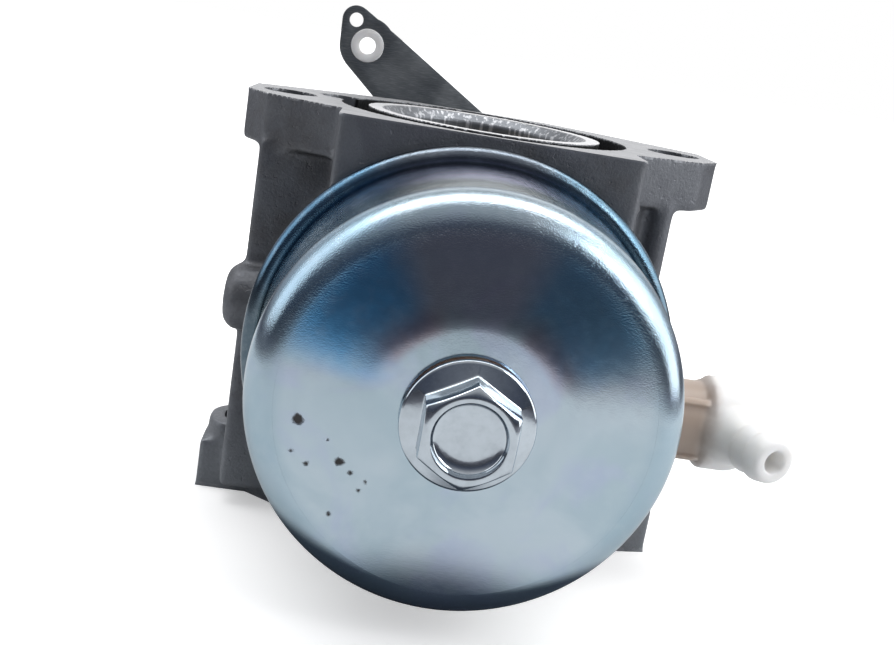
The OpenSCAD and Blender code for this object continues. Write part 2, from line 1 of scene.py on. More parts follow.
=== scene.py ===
"""Looks of a small-engine float-bowl carburetor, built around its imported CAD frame.

The frame's +Z runs along the throttle bore, -Y along the float bowl and +X to the fuel inlet.
Lengths are in metres, and MM turns millimetres into them.
"""

import json
import math

import bmesh
import bpy
import numpy as np
from mathutils import Matrix, Vector
from mathutils.bvhtree import BVHTree
from mathutils.kdtree import KDTree

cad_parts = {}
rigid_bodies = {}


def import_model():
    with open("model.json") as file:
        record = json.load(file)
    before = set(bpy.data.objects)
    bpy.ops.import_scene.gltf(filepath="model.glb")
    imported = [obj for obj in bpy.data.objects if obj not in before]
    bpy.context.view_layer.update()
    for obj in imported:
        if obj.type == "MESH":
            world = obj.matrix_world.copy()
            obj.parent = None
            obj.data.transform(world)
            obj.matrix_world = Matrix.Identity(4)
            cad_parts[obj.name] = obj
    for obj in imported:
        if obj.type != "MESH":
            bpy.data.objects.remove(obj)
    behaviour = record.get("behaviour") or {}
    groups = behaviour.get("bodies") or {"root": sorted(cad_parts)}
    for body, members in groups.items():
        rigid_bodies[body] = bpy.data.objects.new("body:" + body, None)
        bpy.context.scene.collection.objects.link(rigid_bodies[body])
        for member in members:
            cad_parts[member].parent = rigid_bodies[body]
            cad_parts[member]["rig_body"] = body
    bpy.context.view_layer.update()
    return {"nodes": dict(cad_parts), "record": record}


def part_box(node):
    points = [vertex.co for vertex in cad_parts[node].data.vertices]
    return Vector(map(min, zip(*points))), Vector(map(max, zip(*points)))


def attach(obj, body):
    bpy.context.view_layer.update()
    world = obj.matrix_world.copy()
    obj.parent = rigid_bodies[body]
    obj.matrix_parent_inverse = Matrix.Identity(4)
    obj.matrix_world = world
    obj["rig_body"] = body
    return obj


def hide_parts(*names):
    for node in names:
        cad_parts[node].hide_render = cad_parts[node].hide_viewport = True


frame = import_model()
NODES = frame["nodes"]
MM = 0.001
UP = Vector((0, 0, 1))
FRONT = Vector((0, -1, 0))
RIGHT = Vector((1, 0, 0))
SAME_POINT = 1e-6                           # vertices nearer than this are one vertex
SAME_HEIGHT = 1e-5
SHARP = math.radians(35)                    # CAD edges that turn more than this are real edges


# ---- material tools ----

class Shader:
    """One procedural material. Positions inside it are in millimetres of the part's own frame."""

    def __init__(self, name, metallic=0.0, roughness=0.5, **sockets):
        self.material = bpy.data.materials.new(name)
        self.material.use_nodes = True
        tree = self.material.node_tree
        self.nodes, self.links = tree.nodes, tree.links
        self.nodes.clear()
        output = self.nodes.new("ShaderNodeOutputMaterial")
        self.surface = self.nodes.new("ShaderNodeBsdfPrincipled")
        self.links.new(self.surface.outputs["BSDF"], output.inputs["Surface"])
        self.coords = self.nodes.new("ShaderNodeTexCoord")
        self.place = self.vector("MULTIPLY", self.coords.outputs["Object"], (1000, 1000, 1000))
        self.give("Metallic", metallic)
        self.give("Roughness", roughness)
        for socket, value in sockets.items():
            self.give(socket.replace("_", " "), value)

    def plug(self, socket, value):
        if isinstance(value, bpy.types.NodeSocket):
            self.links.new(value, socket)
        else:
            socket.default_value = value

    def give(self, socket, value):
        self.plug(self.surface.inputs[socket], value)

    def vector(self, operation, a, b):
        node = self.nodes.new("ShaderNodeVectorMath")
        node.operation = operation
        self.plug(node.inputs[0], a)
        self.plug(node.inputs[1], b)
        return node.outputs[0]

    def math(self, operation, a, b=0.0, clamp=False):
        node = self.nodes.new("ShaderNodeMath")
        node.operation = operation
        node.use_clamp = clamp
        self.plug(node.inputs[0], a)
        self.plug(node.inputs[1], b)
        return node.outputs[0]

    def vector_length(self, value):
        node = self.nodes.new("ShaderNodeVectorMath")
        node.operation = "LENGTH"
        self.plug(node.inputs[0], value)
        return node.outputs["Value"]

    def split(self, value):
        node = self.nodes.new("ShaderNodeSeparateXYZ")
        self.plug(node.inputs[0], value)
        return node.outputs[0], node.outputs[1], node.outputs[2]

    def noise(self, scale, detail=3.0, roughness=0.55, stretch=None, distortion=0.0):
        """Fractal noise from 0 to 1, scale features to the millimetre."""
        node = self.nodes.new("ShaderNodeTexNoise")
        place = self.place if stretch is None else self.vector("MULTIPLY", self.place, stretch)
        self.plug(node.inputs["Vector"], place)
        node.inputs["Scale"].default_value = scale
        node.inputs["Detail"].default_value = detail
        node.inputs["Roughness"].default_value = roughness
        node.inputs["Distortion"].default_value = distortion
        return node.outputs[0]

    def remap(self, value, low, high, to_low=0.0, to_high=1.0):
        node = self.nodes.new("ShaderNodeMapRange")
        node.interpolation_type = "SMOOTHSTEP"
        for socket, number in zip(node.inputs, (value, low, high, to_low, to_high)):
            self.plug(socket, number)
        return node.outputs[0]

    def mix(self, factor, a, b):
        node = self.nodes.new("ShaderNodeMix")
        node.data_type = "RGBA"
        self.plug(node.inputs[0], factor)
        self.plug(node.inputs[6], rgba(a))
        self.plug(node.inputs[7], rgba(b))
        return node.outputs[2]

    def blend(self, factor, a, b):
        node = self.nodes.new("ShaderNodeMix")
        self.plug(node.inputs[0], factor)
        self.plug(node.inputs[2], a)
        self.plug(node.inputs[3], b)
        return node.outputs[0]

    def bump(self, *layers):
        """Each layer is a height from 0 to 1 and its depth in millimetres."""
        normal = None
        for height, depth in layers:
            node = self.nodes.new("ShaderNodeBump")
            node.inputs["Distance"].default_value = depth * MM
            self.plug(node.inputs["Height"], height)
            if normal is not None:
                self.links.new(normal, node.inputs["Normal"])
            normal = node.outputs[0]
        self.links.new(normal, self.surface.inputs["Normal"])

    def edges(self, low=0.51, high=0.56):
        """1 on convex edges of a dense mesh."""
        geometry = self.nodes.new("ShaderNodeNewGeometry")
        return self.remap(geometry.outputs["Pointiness"], low, high)


def rgba(value):
    return (*value, 1.0) if isinstance(value, tuple) and len(value) == 3 else value


# ---- mesh tools ----

def axis_frame(origin, direction, across=None):
    """Matrix that carries local +Z to direction and local +X near across, at origin."""
    z = Vector(direction).normalized()
    x = Vector(across or (UP if abs(z.z) < 0.9 else RIGHT))
    x = (x - z * x.dot(z)).normalized()
    y = z.cross(x)
    turn = Matrix((x, y, z)).transposed().to_4x4()
    return Matrix.Translation(origin) @ turn


def add_piece(name, mesh, body, material, replaced=(), smooth_angle=35):
    piece = bpy.data.objects.new(name, mesh)
    bpy.context.scene.collection.objects.link(piece)
    mesh.materials.clear()
    mesh.materials.append(material)
    mesh.shade_smooth()
    mesh.set_sharp_from_angle(angle=math.radians(smooth_angle))
    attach(piece, body)
    if replaced:
        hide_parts(*replaced)
    return piece


def mesh_from(build, name):
    """Runs build on a new bmesh and returns it as a clean closed mesh."""
    bm = bmesh.new()
    build(bm)
    bmesh.ops.remove_doubles(bm, verts=bm.verts, dist=SAME_POINT)
    bmesh.ops.recalc_face_normals(bm, faces=bm.faces)
    mesh = bpy.data.meshes.new(name)
    bm.to_mesh(mesh)
    bm.free()
    return mesh


def grid_faces(bm, rows, close_rows=False, close_columns=True):
    """Joins equal rows of vertices with quads."""
    count = len(rows[0])
    last = len(rows) if close_rows else len(rows) - 1
    for i in range(last):
        upper, lower = rows[i], rows[(i + 1) % len(rows)]
        for j in range(count if close_columns else count - 1):
            k = (j + 1) % count
            bm.faces.new((upper[j], upper[k], lower[k], lower[j]))


def lathe(bm, profile, place, steps=96, closed=True):
    """Turns a profile of (radius, height) pairs round the local Z of place."""
    rows = []
    for i in range(steps):
        angle = math.tau * i / steps
        turn = Matrix.Rotation(angle, 4, "Z")
        rows.append([bm.verts.new(place @ turn @ Vector((r, 0, h))) for r, h in profile])
    grid_faces(bm, rows, close_rows=True, close_columns=closed)


def capped_lathe(bm, profile, place, steps=96, start=0.0):
    """A lathe whose first and last points lie on the axis. The profile may be a function of the angle."""
    shape = profile if callable(profile) else lambda angle: profile
    rows = []
    for i in range(steps):
        angle = start + math.tau * i / steps
        turn = Matrix.Rotation(angle, 4, "Z")
        rows.append([bm.verts.new(place @ turn @ Vector((r, 0, h))) for r, h in shape(angle)[1:-1]])
    grid_faces(bm, rows, close_rows=True, close_columns=False)
    for end, column in ((shape(start)[0], 0), (shape(start)[-1], -1)):
        hub = bm.verts.new(place @ Vector((0, 0, end[1])))
        for i in range(steps):
            bm.faces.new((hub, rows[i][column], rows[(i + 1) % steps][column]))


def arc(x, y, radius, start, end, steps=8):
    """Points of an arc, with its angles in degrees."""
    angles = (math.radians(start + (end - start) * i / steps) for i in range(steps + 1))
    return [(x + radius * math.cos(a), y + radius * math.sin(a)) for a in angles]


def rounded(points, radius, steps=4):
    """The closed or open chain of (radius, height) points with every inner corner filleted."""
    out = [points[0]]
    for before, corner, after in zip(points, points[1:], points[2:]):
        p, c, n = Vector(before), Vector(corner), Vector(after)
        a, b = (p - c), (n - c)
        reach = min(radius, a.length * 0.45, b.length * 0.45)
        a, b = c + a.normalized() * reach, c + b.normalized() * reach
        for i in range(steps + 1):
            t = i / steps
            q = a * (1 - t) ** 2 + c * 2 * t * (1 - t) + b * t ** 2
            out.append((q.x, q.y))
    out.append(points[-1])
    return out


def sweep(bm, points, radius, sides=12):
    """A round wire along points, with flat ends."""
    points = [Vector(p) for p in points]
    tangent = (points[1] - points[0]).normalized()
    normal = tangent.orthogonal().normalized()
    rows = []
    for i, point in enumerate(points):
        ahead = points[min(i + 1, len(points) - 1)] - points[max(i - 1, 0)]
        turned = tangent.rotation_difference(ahead.normalized())
        tangent, normal = ahead.normalized(), turned @ normal
        side = tangent.cross(normal)
        rows.append([
            bm.verts.new(point + (normal * math.cos(a) + side * math.sin(a)) * radius)
            for a in (math.tau * j / sides for j in range(sides))
        ])
    grid_faces(bm, rows)
    bm.faces.new(rows[0])
    bm.faces.new(reversed(rows[-1]))


def coil_points(place, radius, height, turns, steps=28, dead=0.75):
    """A spring's centre line with a dead turn at each end."""
    total = turns + 2 * dead
    count = int(total * steps)
    points = []
    for i in range(count + 1):
        turn = total * i / count
        rise = min(max((turn - dead) / turns, 0), 1)
        rise = rise * rise * (3 - 2 * rise) * 0.15 + rise * 0.85
        angle = math.tau * turn
        points.append(place @ Vector((radius * math.cos(angle), radius * math.sin(angle), height * rise)))
    return points


def threaded_rod(bm, place, radius, length, pitch, depth, steps=32, rows_per_pitch=6):
    """A rod with a helical ridge, capped at both ends."""
    count = max(int(length / pitch * rows_per_pitch), 2)
    rows = []
    for i in range(count + 1):
        height = length * i / count
        fade = min(height, length - height) / pitch
        row = []
        for j in range(steps):
            angle = math.tau * j / steps
            saw = abs(2 * ((height / pitch - j / steps) % 1) - 1)
            reach = radius - depth * (1 - saw) * min(fade, 1)
            row.append(bm.verts.new(place @ Vector((reach * math.cos(angle), reach * math.sin(angle), height))))
        rows.append(row)
    grid_faces(bm, rows)
    bm.faces.new(rows[0])
    bm.faces.new(reversed(rows[-1]))


def softened(node, width, material):
    """Stands a copy of a CAD node, with its edges broken, in the node's place."""
    source = NODES[node]
    bm = bmesh.new()
    bm.from_mesh(source.data)
    bmesh.ops.remove_doubles(bm, verts=bm.verts, dist=SAME_POINT)
    bmesh.ops.dissolve_limit(bm, angle_limit=math.radians(1), verts=bm.verts, edges=bm.edges)
    sharp = [e for e in bm.edges if len(e.link_faces) == 2 and e.calc_face_angle() > SHARP]
    bmesh.ops.bevel(
        bm, geom=sharp, offset=width, offset_type="OFFSET", segments=2, profile=0.5,
        affect="EDGES", clamp_overlap=True,
    )
    bmesh.ops.triangulate(bm, faces=[f for f in bm.faces if len(f.verts) > 4])
    mesh = bpy.data.meshes.new(node)
    bm.to_mesh(mesh)
    bm.free()
    return add_piece(node + "_finished", mesh, source["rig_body"], material, (node,), 40)


# ---- materials ----

# The bowl's interference colours: direction from its axis (X, Z), colour and strength.
IRIDESCENCE = [
    (-0.78, 0.62, (0.10, 0.46, 0.88), 0.85), (0.64, 0.77, (0.16, 0.46, 0.72), 0.75),
    (-0.10, 0.99, (0.60, 0.55, 0.64), 0.5),
]
# Places of the rust specks on the bowl's floor: X, height from the bowl's axis, and radius, in mm.
RUST_SPECKS = [
    (-22.6, -3.2, 0.75), (-16.2, -8.2, 0.6), (-20.6, -9.4, 0.35), (-14.5, -9.6, 0.3), (-13.0, -12.0, 0.28),
    (-16.6, -16.4, 0.3), (-18.2, -5.4, 0.25), (-22.9, -7.9, 0.25), (-12.2, -10.6, 0.25),
]
CENTRE_FLAT = 13.8                          # radius of the bowl's flat centre, in mm
BORE_SKIN = 17.6                            # the cut surface of the bore lies inside this radius, in mm

def cast_aluminium():
    """Die casting: grey blasted skin, with bright milled faces and a bright turned bore."""
    low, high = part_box("carburetor_body")
    top, bottom = high.z / MM, low.z / MM
    s = Shader("cast_aluminium", metallic=0.85)
    x, y, z = s.split(s.place)
    normal_z = s.split(s.coords.outputs["Normal"])[2]
    radial = s.math("SQRT", s.math("ADD", s.math("MULTIPLY", x, x), s.math("MULTIPLY", y, y)))
    top_face = s.math("MULTIPLY", s.remap(z, top - 0.1, top - 0.03), s.remap(normal_z, 0.6, 0.9))
    low_face = s.math("MULTIPLY", s.remap(z, bottom + 0.1, bottom + 0.03), s.remap(normal_z, -0.6, -0.9))
    milled = s.math("MAXIMUM", top_face, low_face)
    bore = s.remap(radial, BORE_SKIN + 0.6, BORE_SKIN)
    machined = s.math("MAXIMUM", milled, bore)
    in_ring = s.math("MULTIPLY", s.remap(radial, 19.6, 20.2), s.remap(radial, 25.9, 25.3))
    # Painted shade: the recess round the machined ring is painted near black.
    recess_shade = s.math("MULTIPLY", in_ring, s.remap(z, top - 0.12, top - 0.3))
    recess_shade = s.math("MULTIPLY", recess_shade, s.remap(z, top - 4.6, top - 4.2))

    grain = s.noise(2.2, detail=4)
    mottle = s.noise(0.11, detail=3, distortion=0.4)
    stain = s.remap(s.noise(0.05, detail=5, roughness=0.7), 0.5, 0.72)
    skin = s.mix(s.remap(mottle, 0.3, 0.7), (0.14, 0.147, 0.163), (0.182, 0.191, 0.207))
    skin = s.mix(s.math("MULTIPLY", stain, 0.45), skin, (0.085, 0.078, 0.07))
    # Painted light: the skin is lighter towards the engine flange.
    skin = s.mix(s.math("MULTIPLY", s.remap(z, bottom + 20, bottom + 6), 0.55), skin, (0.29, 0.31, 0.33))
    skin = s.mix(s.math("MULTIPLY", s.edges(0.52, 0.58), 0.42), skin, (0.34, 0.35, 0.37))
    swirl = s.noise(1.0, detail=2, stretch=(0.15, 3.5, 0.15))
    bright = s.mix(s.remap(swirl, 0.35, 0.65), (0.34, 0.35, 0.36), (0.47, 0.47, 0.48))
    rim = s.math("MULTIPLY", top_face, s.remap(radial, 20.7, 20.4))
    bright = s.mix(rim, bright, (0.72, 0.72, 0.73))
    # Painted reflection: light and dark streaks along the bore, painted into its colour.
    bore_reflection_streaks = s.noise(1.5, detail=2, stretch=(1, 1, 0.03))
    bright = s.mix(bore, bright, s.mix(s.remap(bore_reflection_streaks, 0.5, 0.66), (0.17, 0.18, 0.195), (0.46, 0.47, 0.49)))
    s.give("Base Color", s.mix(recess_shade, s.mix(machined, skin, bright), (0.02, 0.021, 0.023)))
    rough_skin = s.remap(grain, 0.3, 0.7, 0.46, 0.62)
    turned = s.noise(1.0, detail=1, stretch=(0.4, 0.4, 7.0))
    rough_cut = s.remap(turned, 0.3, 0.7, 0.5, 0.62)
    s.give("Roughness", s.blend(bore, s.blend(machined, rough_skin, rough_cut), 0.44))
    blast = s.math("MULTIPLY", grain, s.math("SUBTRACT", 1.0, machined))
    pits = s.math("MULTIPLY", s.remap(s.noise(0.8, detail=2), 0.62, 0.75), s.math("SUBTRACT", 1.0, machined))
    ridges = s.math("MULTIPLY", turned, machined)
    s.bump((blast, 0.09), (pits, -0.06), (ridges, 0.012))
    return s.material


def zinc_bowl():
    """Pressed steel under blue clear chromate, with specks of dark rust."""
    low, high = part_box("float_bowl")
    axis_z = (low.z + high.z) / 2 / MM
    s = Shader("zinc_bowl", metallic=1.0)
    x, y, z = s.split(s.place)
    across = s.math("SUBTRACT", z, axis_z)
    cloud = s.noise(0.045, detail=4, roughness=0.6, distortion=0.6)
    cloud_two = s.noise(0.07, detail=3, distortion=1.0)
    tone = s.mix(s.remap(cloud, 0.36, 0.64), (0.44, 0.55, 0.61), (0.53, 0.62, 0.68))
    tone = s.mix(s.math("MULTIPLY", s.remap(cloud_two, 0.50, 0.68), 0.5), tone, (0.47, 0.52, 0.70))
    radius = s.math("SQRT", s.math("ADD", s.math("MULTIPLY", x, x), s.math("MULTIPLY", across, across)))
    turn = s.math("DIVIDE", across, radius)
    wall = s.remap(y, low.y / MM + 5.5, low.y / MM + 9)
    brown = s.math("MULTIPLY", s.remap(turn, 0.35, 0.62), s.remap(turn, 0.97, 0.86))
    brown = s.math("MULTIPLY", brown, s.remap(radius, CENTRE_FLAT + 4.5, CENTRE_FLAT + 1))
    brown = s.math("MULTIPLY", brown, s.remap(radius, CENTRE_FLAT - 2, CENTRE_FLAT))
    tone = s.mix(s.math("MULTIPLY", brown, 0.7), tone, (0.42, 0.27, 0.27))
    violet = s.math("MULTIPLY", s.remap(y, low.y / MM + 12, low.y / MM + 19), s.remap(turn, 0.6, 0.95))
    plain = s.mix(violet, (0.60, 0.67, 0.66), (0.70, 0.72, 0.92))
    # Painted shade: the rolled bead at the bowl's mouth is painted dark.
    plain = s.mix(s.remap(y, high.y / MM - 4.6, high.y / MM - 3.6), plain, (0.11, 0.15, 0.18))
    tone = s.mix(wall, tone, plain)
    rim = s.remap(s.math("ADD", radius, s.math("MULTIPLY", cloud_two, 8)), CENTRE_FLAT + 2, CENTRE_FLAT + 10)
    rim = s.math("MULTIPLY", rim, s.math("MAXIMUM", s.remap(radius, 28.5, 25.5), 0.25))
    for way_x, way_z, color, strength in IRIDESCENCE:
        along = s.math("ADD", s.math("MULTIPLY", x, way_x), s.math("MULTIPLY", across, way_z))
        near = s.remap(s.math("DIVIDE", along, radius), 0.86, 0.985)
        tone = s.mix(s.math("MULTIPLY", s.math("MULTIPLY", near, rim), strength), tone, color)
    # Painted shade: the shoulder band is painted darker and bluer, which dims its highlight.
    shoulder = s.math("MULTIPLY", s.remap(radius, 24.5, 27), s.remap(y, low.y / MM + 9, low.y / MM + 6.5))
    tone = s.mix(s.math("MULTIPLY", shoulder, 0.4), tone, (0.30, 0.43, 0.51))
    dull = s.remap(s.noise(0.35, detail=6, roughness=0.7), 0.45, 0.75)
    tone = s.mix(s.math("MULTIPLY", dull, 0.15), tone, (0.62, 0.69, 0.72))
    specks = None
    warp = s.math("MULTIPLY", s.math("SUBTRACT", s.noise(1.3, detail=3), 0.5), 1.1)
    for speck_x, speck_z, size in RUST_SPECKS:
        off_x = s.math("SUBTRACT", x, speck_x)
        off_z = s.math("SUBTRACT", across, speck_z)
        gap = s.math("SQRT", s.math("ADD", s.math("MULTIPLY", off_x, off_x), s.math("MULTIPLY", off_z, off_z)))
        spot = s.remap(s.math("ADD", gap, warp), size + 0.2, size - 0.25)
        specks = spot if specks is None else s.math("MAXIMUM", specks, spot)
    on_floor = s.remap(y, low.y / MM + 12, low.y / MM + 10)
    specks = s.math("MULTIPLY", specks, on_floor)
    tone = s.mix(s.math("MULTIPLY", specks, 0.9), tone, (0.085, 0.07, 0.06))
    s.give("Base Color", tone)
    smear = s.noise(0.5, detail=5, roughness=0.65)
    fine = s.noise(5.0, detail=2)
    gloss = s.remap(smear, 0.3, 0.75, 0.12, 0.18)
    s.give("Roughness", s.blend(specks, gloss, 0.8))
    peel = s.math("MULTIPLY", s.remap(radius, 23, 27), s.remap(turn, 0.1, 0.7))
    s.bump(
        (fine, 0.006), (s.noise(0.9, detail=3), 0.006),
        (s.math("MULTIPLY", s.noise(5.0, detail=2), peel), 0.045), (specks, -0.08),
    )
    return s.material


def plated(name, color, low, high, depth=0.006, scale=0.8):
    """Bright plated steel with a little haze and fine marks."""
    s = Shader(name, metallic=1.0)
    haze = s.noise(scale, detail=4, roughness=0.65)
    dark = tuple(c * 0.88 for c in color)
    s.give("Base Color", s.mix(s.remap(haze, 0.35, 0.7), color, dark))
    s.give("Roughness", s.remap(s.noise(scale * 2.5, detail=3), 0.3, 0.7, low, high))
    s.bump((s.noise(3.0, detail=2), depth))
    return s.material


def lever_steel():
    """Stamped sheet: rolled grain with lighter streaks, and smudges."""
    s = Shader("lever_steel", metallic=0.9)
    grain = s.noise(1.0, detail=3, stretch=(0.5, 1.0, 6.0))
    smudge = s.noise(0.12, detail=4, distortion=0.5)
    tone = s.mix(s.remap(smudge, 0.35, 0.68), (0.19, 0.205, 0.215), (0.235, 0.25, 0.26))
    s.give("Base Color", s.mix(s.remap(grain, 0.4, 0.9), tone, (0.36, 0.38, 0.39)))
    s.give("Roughness", s.remap(smudge, 0.3, 0.7, 0.36, 0.5))
    s.bump((grain, 0.01), (s.noise(0.7, detail=3), 0.02))
    return s.material


def brass(name, color=(0.80, 0.60, 0.28)):
    """Turned brass, tarnished in patches."""
    s = Shader(name, metallic=1.0)
    tarnish = s.noise(0.35, detail=4, roughness=0.6)
    worn = tuple(c * 0.62 for c in color)
    s.give("Base Color", s.mix(s.remap(tarnish, 0.45, 0.75), color, worn))
    s.give("Roughness", s.remap(s.noise(1.6, detail=3), 0.3, 0.7, 0.22, 0.38))
    s.bump((s.noise(4.0, detail=2), 0.005))
    return s.material


def nylon(name, color, shade, scatter=0.25):
    """Moulded nylon: off-white and slightly clouded, and darker tan at the elbow's root, partly a tan stain and
    partly painted shade.
    """
    s = Shader(name, roughness=0.4, Subsurface_Weight=scatter, IOR=1.52)
    s.surface.inputs["Subsurface Radius"].default_value = (1.0, 0.95, 0.9)
    s.surface.inputs["Subsurface Scale"].default_value = 3 * MM
    cloud = s.noise(0.16, detail=3)
    tone = s.mix(s.remap(cloud, 0.35, 0.7), color, shade)
    # The root next to the body is painted darker tan: partly a tan stain, partly painted shade.
    along = s.math("ADD", s.split(s.place)[0], s.math("MULTIPLY", cloud, 3))
    root = s.math("MULTIPLY", s.remap(along, 48.5, 44.5), s.remap(along, 28, 30))
    s.give("Base Color", s.mix(root, tone, (0.50, 0.40, 0.33)))
    s.give("Roughness", s.remap(s.noise(0.9, detail=3), 0.3, 0.7, 0.32, 0.46))
    s.bump((s.noise(2.2, detail=2), 0.008))
    return s.material


def dull(name, color, worn, roughness, scale=1.2, depth=0.03):
    """Rubber, fibre or foam."""
    s = Shader(name)
    patch = s.noise(scale * 0.3, detail=4)
    s.give("Base Color", s.mix(s.remap(patch, 0.4, 0.75), color, worn))
    s.give("Roughness", s.remap(s.noise(scale), 0.3, 0.7, roughness - 0.08, roughness + 0.08))
    s.bump((s.noise(scale * 2.5, detail=3), depth))
    return s.material


# ---- pieces ----

def record_mount(name):
    return next(mount for mount in frame["record"]["mounts"] if mount["name"] == name)


def mm(*numbers):
    """A point given in millimetres."""
    return Vector(numbers) * MM


def scaled(profile):
    """A profile given in millimetres."""
    return [(r * MM, h * MM) for r, h in profile]


def make_bowl(material):
    """The pressed bowl as one lathed sheet: flat centre, sloped ring, tight shoulder, step, rolled bead."""
    low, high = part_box("float_bowl")
    axis_z = (low.z + high.z) / 2
    floor, mouth = -low.y / MM, -high.y / MM
    bead = (high.x - low.x) / 2 / MM
    hole, sheet, bend, roll, flare = 4.4, 0.9, 5.2, 1.75, 0.8
    wall = bead - 3.3
    shoulder = floor - 6.7
    step = mouth + 11.9
    roll_at = (bead - roll, mouth + roll)
    face = rounded([(hole, floor), (CENTRE_FLAT, floor)] + arc(wall - bend, shoulder, bend, 83.5, 83, 1), 1.3, 5)
    side = rounded([(wall, shoulder - 0.1), (wall, step + 3.0), (wall + flare, roll_at[1] + 2.2)], 2.5, 6)
    outside = face[:-1] + arc(wall - bend, shoulder, bend, 83.5, 0, 16) + side
    outside += arc(*roll_at, roll, 115, -90, 16)
    inner = wall + flare - sheet
    inside = [(inner, mouth), (inner, step - 0.3), (wall - sheet, step + 0.8)]
    inside += arc(wall - bend, shoulder, bend - sheet, 0, 82, 10)
    inside += [(CENTRE_FLAT, floor - sheet), (hole, floor - sheet)]
    place = axis_frame(Vector((0, 0, axis_z)), FRONT, RIGHT)
    mesh = mesh_from(lambda bm: lathe(bm, scaled(outside + inside), place, 192), "float_bowl_shell")
    return add_piece("bowl_shell", mesh, "root", material, ("float_bowl",), 40)


def nearest_tree(objects):
    """A search tree over the surfaces of several objects."""
    points, faces = [], []
    for item in objects:
        first = len(points)
        points += [v.co.copy() for v in item.data.vertices]
        faces += [[first + i for i in polygon.vertices] for polygon in item.data.polygons]
    return BVHTree.FromPolygons(points, faces)


def face_edges(source, heights, step=0.05 * MM):
    """A search tree of points along the sharp edges that lie at the given heights."""
    bm = bmesh.new()
    bm.from_mesh(source.data)
    bmesh.ops.remove_doubles(bm, verts=bm.verts, dist=SAME_POINT)
    points = []
    for edge in bm.edges:
        a, b = (v.co for v in edge.verts)
        level = any(abs(a.z - z) < SAME_HEIGHT and abs(b.z - z) < SAME_HEIGHT for z in heights)
        if level and len(edge.link_faces) == 2 and edge.calc_face_angle() > SHARP:
            count = max(int((b - a).length / step), 1)
            points += [a.lerp(b, i / count) for i in range(count + 1)]
    bm.free()
    tree = KDTree(len(points))
    for i, point in enumerate(points):
        tree.insert(point, i)
    tree.balance()
    return tree


def remeshed(source, voxel):
    """Evenly fine copy of a mesh. Closed shells that overlap in it become one."""
    work = bpy.data.objects.new("work", source.copy())
    bpy.context.scene.collection.objects.link(work)
    remesh = work.modifiers.new("remesh", "REMESH")
    remesh.mode = "VOXEL"
    remesh.voxel_size = voxel
    depsgraph = bpy.context.evaluated_depsgraph_get()
    mesh = bpy.data.meshes.new_from_object(work.evaluated_get(depsgraph))
    bpy.data.objects.remove(work)
    return mesh


def smooth_loose(mesh, hold, rounds, step=0.5):
    """Relaxes the vertices whose hold is below 1, and keeps the held ones where they are."""
    count = len(mesh.vertices)
    points = np.empty(count * 3)
    mesh.vertices.foreach_get("co", points)
    points = points.reshape(count, 3)
    ends = np.empty(len(mesh.edges) * 2, dtype=np.int64)
    mesh.edges.foreach_get("vertices", ends)
    a, b = ends.reshape(-1, 2).T
    degree = np.bincount(a, minlength=count) + np.bincount(b, minlength=count)
    free = (step * (1 - hold))[:, None]
    for _ in range(rounds):
        total = np.stack([
            np.bincount(a, points[b, k], count) + np.bincount(b, points[a, k], count) for k in range(3)
        ], axis=1)
        points += free * (total / np.maximum(degree, 1)[:, None] - points)
    mesh.vertices.foreach_set("co", points.ravel())
    mesh.update()


def make_body(material):
    """The casting, with softened as-cast edges and crisp machined faces, holes and seats."""
    source = NODES["carburetor_body"]
    low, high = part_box("carburetor_body")
    mesh = remeshed(source.data, (0.42) * MM)
    surface = nearest_tree([source])
    edges = face_edges(source, (low.z, high.z))
    others = nearest_tree([item for name, item in NODES.items() if name != "carburetor_body"])
    stud = record_mount("engine_studs")["dims"]["spacing_x_mm"] / 2 * MM
    face_depth, bore_r, stud_r = 0.35 * MM, 18.2 * MM, 4.9 * MM
    recess_r, recess_depth = 25.4 * MM, 3.6 * MM
    seat_gap, snap_reach, edge_reach = 0.9 * MM, 0.6 * MM, 0.27 * MM
    hold = np.zeros(len(mesh.vertices))
    for i, vertex in enumerate(mesh.vertices):
        at = vertex.co
        machined = (
            at.z > high.z - face_depth or at.z < low.z + face_depth
            or math.hypot(at.x, at.y) < bore_r
            or math.hypot(abs(at.x) - stud, at.y) < stud_r
            or (math.hypot(at.x, at.y) < recess_r and at.z > high.z - recess_depth)
        )
        if machined or others.find_nearest(at, seat_gap)[0] is not None:
            hold[i] = 1
            snapped = surface.find_nearest(at, snap_reach)[0]
            edge, _, gap = edges.find(at)
            if gap < edge_reach:
                snapped = edge
            if snapped is not None:
                vertex.co = snapped
    smooth_loose(mesh, hold, 14)
    return add_piece("cast_body", mesh, "root", material, ("carburetor_body",), 50)


